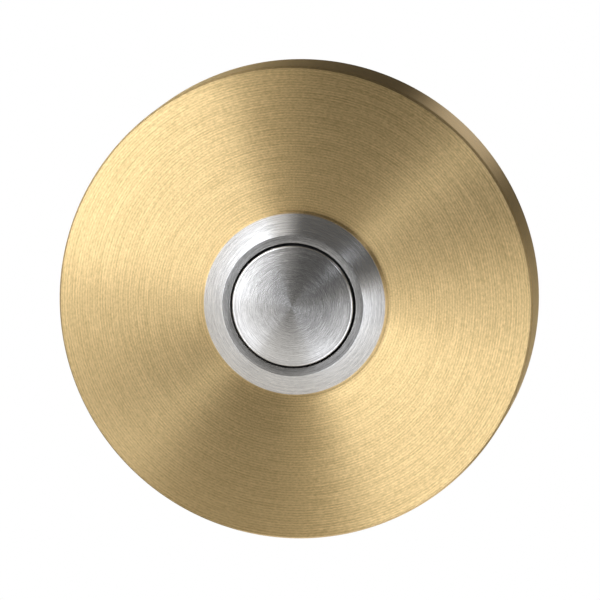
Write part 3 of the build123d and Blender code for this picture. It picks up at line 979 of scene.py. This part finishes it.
    def terminal_screws(self) -> None:
        """Makes both terminal screws with their washers, set by Geometry Nodes."""
        top, under, post = self.terminal_head, self.terminal_washer, self.terminal_post
        shank, head = self.terminal_screw_radius, self.terminal_head_radius
        piece = turned("terminal_screws", eased_outline([
            Corner(0, self.terminal_tip), Corner(shank, self.terminal_tip, 0.2),
            Corner(shank, under, 0.05), Corner(head, under, 0.1), Corner(head, top, 0.35),
            Corner(0, top)], 5), FINE_SEGMENTS)
        combine(piece, block("slot", (0, top, 0), self.terminal_slot_size))
        washer = turned("washer", eased_outline([
            Corner(self.washer_hole, post, 0.05), Corner(self.washer_radius, post, 0.1),
            Corner(self.washer_radius, under, 0.1), Corner(self.washer_hole, under, 0.05)], 3),
            FINE_SEGMENTS)
        piece.data = joined_mesh("terminal_screws", piece.data, washer.data)
        bpy.data.objects.remove(washer)
        tree = Tree("TerminalScrews", {"Spacing": 2 * self.terminal_place * MM, "Count": 2})
        tree.close(tree.pair(tree.inputs["Geometry"]))
        tree.run(piece, self.shop.materials[Slot.PLATED_STEEL])
        self.shop.finish(piece, Slot.PLATED_STEEL, Body.HOUSING,
                         "terminal_screw_left", "terminal_screw_right",
                         "terminal_washer_left", "terminal_washer_right")


@dataclass
class Button(Maker):
    """What the finger moves."""

    radius: float = 6.35
    crown: float = -10.75
    dome_radius: float = 36.25
    dome_steps: int = 14
    edge_radius: float = 0.2
    edge_steps: int = 8
    seal_groove_radius: float = 5.57
    seal_groove_front: float = -8.5
    seal_groove_back: float = -7.3
    flange_radius: float = 6.87
    flange_front: float = -5.6
    flange_back: float = -4.6
    hollow_radius: float = 4.6
    floor: float = -8.70
    contact_ease: float = 0.1
    contact_room: float = 0.02

    def cap(self) -> None:
        """Makes the domed cap."""
        dome_edge = self.radius - self.edge_radius
        sphere = self.dome_radius
        outline = [(0.0, self.crown)]
        for step in range(1, self.dome_steps + 1):
            reach = dome_edge * step / self.dome_steps
            outline.append((reach, self.crown + sphere - math.sqrt(sphere ** 2 - reach ** 2)))
        wall_top = outline[-1][1] + self.edge_radius
        for step in range(1, self.edge_steps + 1):
            turn = math.radians(90 * step / self.edge_steps)
            outline.append((dome_edge + self.edge_radius * math.sin(turn),
                            wall_top - self.edge_radius * math.cos(turn)))
        outline += eased_outline([
            Corner(self.radius, self.seal_groove_front, 0.04),
            Corner(self.seal_groove_radius, self.seal_groove_front),
            Corner(self.seal_groove_radius, self.seal_groove_back),
            Corner(self.radius, self.seal_groove_back, 0.04),
            Corner(self.radius, self.flange_front),
            Corner(self.flange_radius, self.flange_front, 0.05),
            Corner(self.flange_radius, self.flange_back, 0.05),
            Corner(self.hollow_radius, self.flange_back, 0.05),
            Corner(self.hollow_radius, self.floor), Corner(0, self.floor)], 3)
        self.shop.finish(turned("domed_cap", outline), Slot.BRUSHED_STAINLESS, Body.BUTTON,
                         "button_cap")

    def moving_contact(self) -> None:
        """Makes the parts on the plunger with eased edges, and room at the contacts."""
        for name, node, slot, width in (
                ("stem", "plunger", Slot.BLACK_MOULDING, 0.08),
                ("bridge_bar", "contact_bridge", Slot.CONTACT_BRASS, 0.06),
                ("push_on_clip", "bridge_clip", Slot.SPRING_STEEL, 0.05)):
            piece = softened_copy(name, node, width)
            if node == "contact_bridge":
                tip = max(vertex.co.y for vertex in piece.data.vertices)
                for vertex in piece.data.vertices:
                    if vertex.co.y > tip - self.contact_ease * MM:
                        vertex.co.y -= self.contact_room * MM
            self.shop.finish(piece, slot, Body.BUTTON, node)


class Use(Enum):
    """What a panel of the studio is for, with the colour of its light."""

    LAMP = (0.94, 1.0, 1.13)
    CARD = (1.0, 1.0, 1.0)


@dataclass(frozen=True)
class Panel:
    """Part of a globe round the button: a soft lamp, or a card that only metal mirrors.

    Args:
        name: Name of the object.
        use: Lamp or card.
        clock: Where it starts and ends round the face, in degrees from the right over the
            top.
        tilt: Where it starts and ends off the face's own direction, in degrees.
        level: Its brightness, where 1 is white.
        soft: Width of its soft edges, in degrees round the face and off its direction.
        clock_step: Widest span of its mesh round the face, in degrees.
        tilt_step: Highest row of its mesh, in degrees.
    """

    name: str
    use: Use
    clock: tuple[float, float]
    tilt: tuple[float, float]
    level: float
    soft: tuple[float, float]
    clock_step: float = 3.0
    tilt_step: float = 1.5

    @staticmethod
    def fade(inside: float, soft: float) -> float:
        """How much of the panel is there, from its distance inside an edge."""
        share = min(max(inside / soft + 0.5, 0.0), 1.0)
        return share * share * (3 - 2 * share)

    def mesh(self, reach: float) -> bpy.types.Mesh:
        """Curved panel with its soft edges as an attribute.

        Args:
            reach: Radius of the globe, in metres.

        Returns:
            The mesh.
        """
        whole = self.clock[1] - self.clock[0] >= 360
        margin = 0.0 if whole else self.soft[0] / 2
        first_clock, last_clock = self.clock[0] - margin, self.clock[1] + margin
        first_tilt = max(self.tilt[0] - self.soft[1] / 2, 0.0)
        last_tilt = min(self.tilt[1] + self.soft[1] / 2, 180.0)
        spans = math.ceil((last_clock - first_clock) / self.clock_step)
        rows = math.ceil((last_tilt - first_tilt) / self.tilt_step)
        shape = bmesh.new()
        fading = shape.verts.layers.float.new("fade")
        grid = []
        for row in range(rows + 1):
            tilt = first_tilt + (last_tilt - first_tilt) * row / rows
            low = 1.0 if self.tilt[0] <= 0 else self.fade(tilt - self.tilt[0], self.soft[1])
            high = 1.0 if self.tilt[1] >= 180 else self.fade(self.tilt[1] - tilt, self.soft[1])
            line = []
            for span in range(spans + 1):
                clock = first_clock + (last_clock - first_clock) * span / spans
                sides = 1.0 if whole else (self.fade(clock - self.clock[0], self.soft[0])
                                           * self.fade(self.clock[1] - clock, self.soft[0]))
                out = reach * math.sin(math.radians(tilt))
                vertex = shape.verts.new((out * math.cos(math.radians(clock)),
                                          -reach * math.cos(math.radians(tilt)),
                                          out * math.sin(math.radians(clock))))
                vertex[fading] = low * high * sides
                line.append(vertex)
            grid.append(line)
        for near, far in zip(grid, grid[1:]):
            for span in range(spans):
                shape.faces.new((near[span], near[span + 1], far[span + 1], far[span]))
        bmesh.ops.remove_doubles(shape, verts=shape.verts, dist=1e-5)
        return plain_mesh(self.name, shape)

    def hang(self, reach: float) -> None:
        """Makes the panel, which no camera sees and which casts no shadow.

        Args:
            reach: Radius of the globe, in metres.
        """
        panel = linked(self.name, self.mesh(reach))
        material = bpy.data.materials.new(self.name)
        material.use_nodes = True
        tree = NodeTree(material.node_tree)
        tree.nodes.clear()
        fade = tree.node("ShaderNodeAttribute", attribute_name="fade")
        clear = tree.node("ShaderNodeBsdfTransparent")
        glow = tree.node("ShaderNodeEmission",
                         {"Color": (*self.use.value, 1), "Strength": self.level})
        mix = tree.node("ShaderNodeMixShader", {0: fade.outputs["Fac"], 1: clear.outputs[0],
                                                2: glow.outputs[0]})
        tree.node("ShaderNodeOutputMaterial", {"Surface": mix.outputs[0]})
        panel.data.materials.append(material)
        panel.visible_camera = False
        panel.visible_shadow = False
        panel.visible_diffuse = self.use is Use.LAMP


@dataclass
class Studio:
    """Floor, world, lamps, cards and camera.

    Args:
        panels: Lamps and cards, of which the nearest comes first and hides what is behind.
        nearest: Distance of the nearest panel, in metres.
        panel_gap: Distance from panel to panel, in metres.
        azimuth: The camera's angle to the right, in degrees.
        elevation: The camera's angle upwards, in degrees.
        distance: The camera's distance, in metres.
        lens: Its focal length, in millimetres.
        face_place: Place along Y of what it looks at, in millimetres.
        shift_right: How far to the right of the axis it looks, in millimetres.
        shift_up: How far above the axis it looks, in millimetres.
        floor_height: The floor's height, in metres.
        floor_reach: Half the floor's length, in metres.
        floor_grey: The floor's brightness.
        fill: Strength of the plain light on what doesn't mirror.
    """

    panels: tuple[Panel, ...] = (
        Panel("lamp_key", Use.LAMP, (120, 185), (35, 50), 8.0, (15, 10)),
        Panel("lamp_lower_left", Use.LAMP, (185, 230), (35, 50), 3.0, (10, 10)),
        Panel("lamp_lower_right", Use.LAMP, (275, 360), (30, 50), 3.0, (20, 10)),
        Panel("lamp_right", Use.LAMP, (35, 45), (25, 40), 3.5, (10, 10)),
        Panel("card_front", Use.CARD, (0, 360), (0, 20), 0.05, (30, 20)),
        Panel("card_upper_right", Use.CARD, (10, 105), (0, 100), 0.1, (30, 20)),
        Panel("card_right", Use.CARD, (-20, 30), (50, 110), 0.4, (20, 20)),
        Panel("card_low", Use.CARD, (235, 300), (10, 50), 0.8, (20, 10)),
        Panel("card_sides", Use.CARD, (110, 350), (50, 90), 0.6, (20, 10)),
        Panel("panel_rim", Use.CARD, (30, 60), (130, 180), 1.0, (20, 10)),
        Panel("card_behind", Use.CARD, (-60, 150), (90, 180), 0.05, (20, 10)),
        Panel("panel_rear", Use.CARD, (250, 330), (120, 170), 1.6, (10, 10)),
        Panel("card_left_behind", Use.CARD, (150, 300), (90, 180), 0.1, (20, 10)),
    )
    nearest: float = 0.585
    panel_gap: float = 0.006
    azimuth: float = 6.75
    elevation: float = 7.39
    distance: float = 0.746
    lens: float = 427.0
    face_place: float = -8.0
    shift_right: float = 0.540
    shift_up: float = 0.381
    floor_height: float = -0.75
    floor_reach: float = 1.2
    floor_grey: float = 0.86
    fill: float = 0.8

    def world(self) -> None:
        """White behind everything and in what metal mirrors, and a plain fill."""
        world = bpy.data.worlds.new("studio")
        bpy.context.scene.world = world
        world.use_nodes = True
        tree = NodeTree(world.node_tree)
        tree.nodes.clear()
        ray = tree.node("ShaderNodeLightPath").outputs
        passed_on = tree.maths("MAXIMUM", ray["Is Glossy Ray"], ray["Is Transmission Ray"])
        seen = tree.maths("MAXIMUM", ray["Is Camera Ray"], passed_on)
        fill = tree.node("ShaderNodeBackground", {"Color": WHITE, "Strength": self.fill})
        white = tree.node("ShaderNodeBackground", {"Color": WHITE, "Strength": 1.0})
        mix = tree.node("ShaderNodeMixShader",
                        {0: seen, 1: fill.outputs[0], 2: white.outputs[0]})
        tree.node("ShaderNodeOutputWorld", {"Surface": mix.outputs[0]})

    def floor(self) -> None:
        """Plain pale floor, well below the wall-mounted button."""
        shape = bmesh.new()
        shape.faces.new([
            shape.verts.new((x * self.floor_reach, y * self.floor_reach, self.floor_height))
            for x, y in ((-1, -1), (1, -1), (1, 1), (-1, 1))])
        floor = linked("floor", plain_mesh("floor", shape))
        material = bpy.data.materials.new("pale_floor")
        material.use_nodes = True
        surface = material.node_tree.nodes["Principled BSDF"]
        surface.inputs["Base Color"].default_value = (*[self.floor_grey] * 3, 1)
        surface.inputs["Roughness"].default_value = 0.7
        floor.data.materials.append(material)

    def camera(self) -> None:
        """Camera at the photograph's angle and distance."""
        data = bpy.data.cameras.new("camera")
        data.lens = self.lens
        data.sensor_width = 36.0
        data.clip_start, data.clip_end = 0.05, 20.0
        camera = bpy.data.objects.new("camera", data)
        bpy.context.scene.collection.objects.link(camera)
        azimuth, elevation = math.radians(self.azimuth), math.radians(self.elevation)
        back = Vector((math.sin(azimuth) * math.cos(elevation),
                       -math.cos(azimuth) * math.cos(elevation), math.sin(elevation)))
        right = Vector((0, 0, 1)).cross(back).normalized()
        up = back.cross(right)
        target = (Vector((0, self.face_place * MM, 0)) + right * self.shift_right * MM
                  + up * self.shift_up * MM)
        camera.location = target + back * self.distance
        camera.rotation_mode = "QUATERNION"
        camera.rotation_quaternion = back.to_track_quat("Z", "Y")
        bpy.context.scene.camera = camera

    def build(self) -> None:
        """Sets up everything round the object."""
        self.world()
        self.floor()
        for index, panel in enumerate(self.panels):
            panel.hang(self.nearest + index * self.panel_gap)
        self.camera()
        bpy.context.scene.view_settings.view_transform = "Standard"


def main() -> None:
    """Builds the dressed doorbell push and the studio round it."""
    logging.basicConfig(level=logging.INFO, format="%(name)s: %(message)s")
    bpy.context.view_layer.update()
    shop = Workshop()
    cover = Cover(shop)
    cover.disc()
    cover.plate()
    cover.wall_screws()
    cover.fixings()
    switch = Switch(shop)
    switch.bezel()
    switch.nut()
    switch.terminals()
    switch.terminal_screws()
    switch.spring()
    button = Button(shop)
    button.cap()
    button.moving_contact()
    shop.dress_nodes()
    Studio().build()


if __name__ == "__main__":
    main()
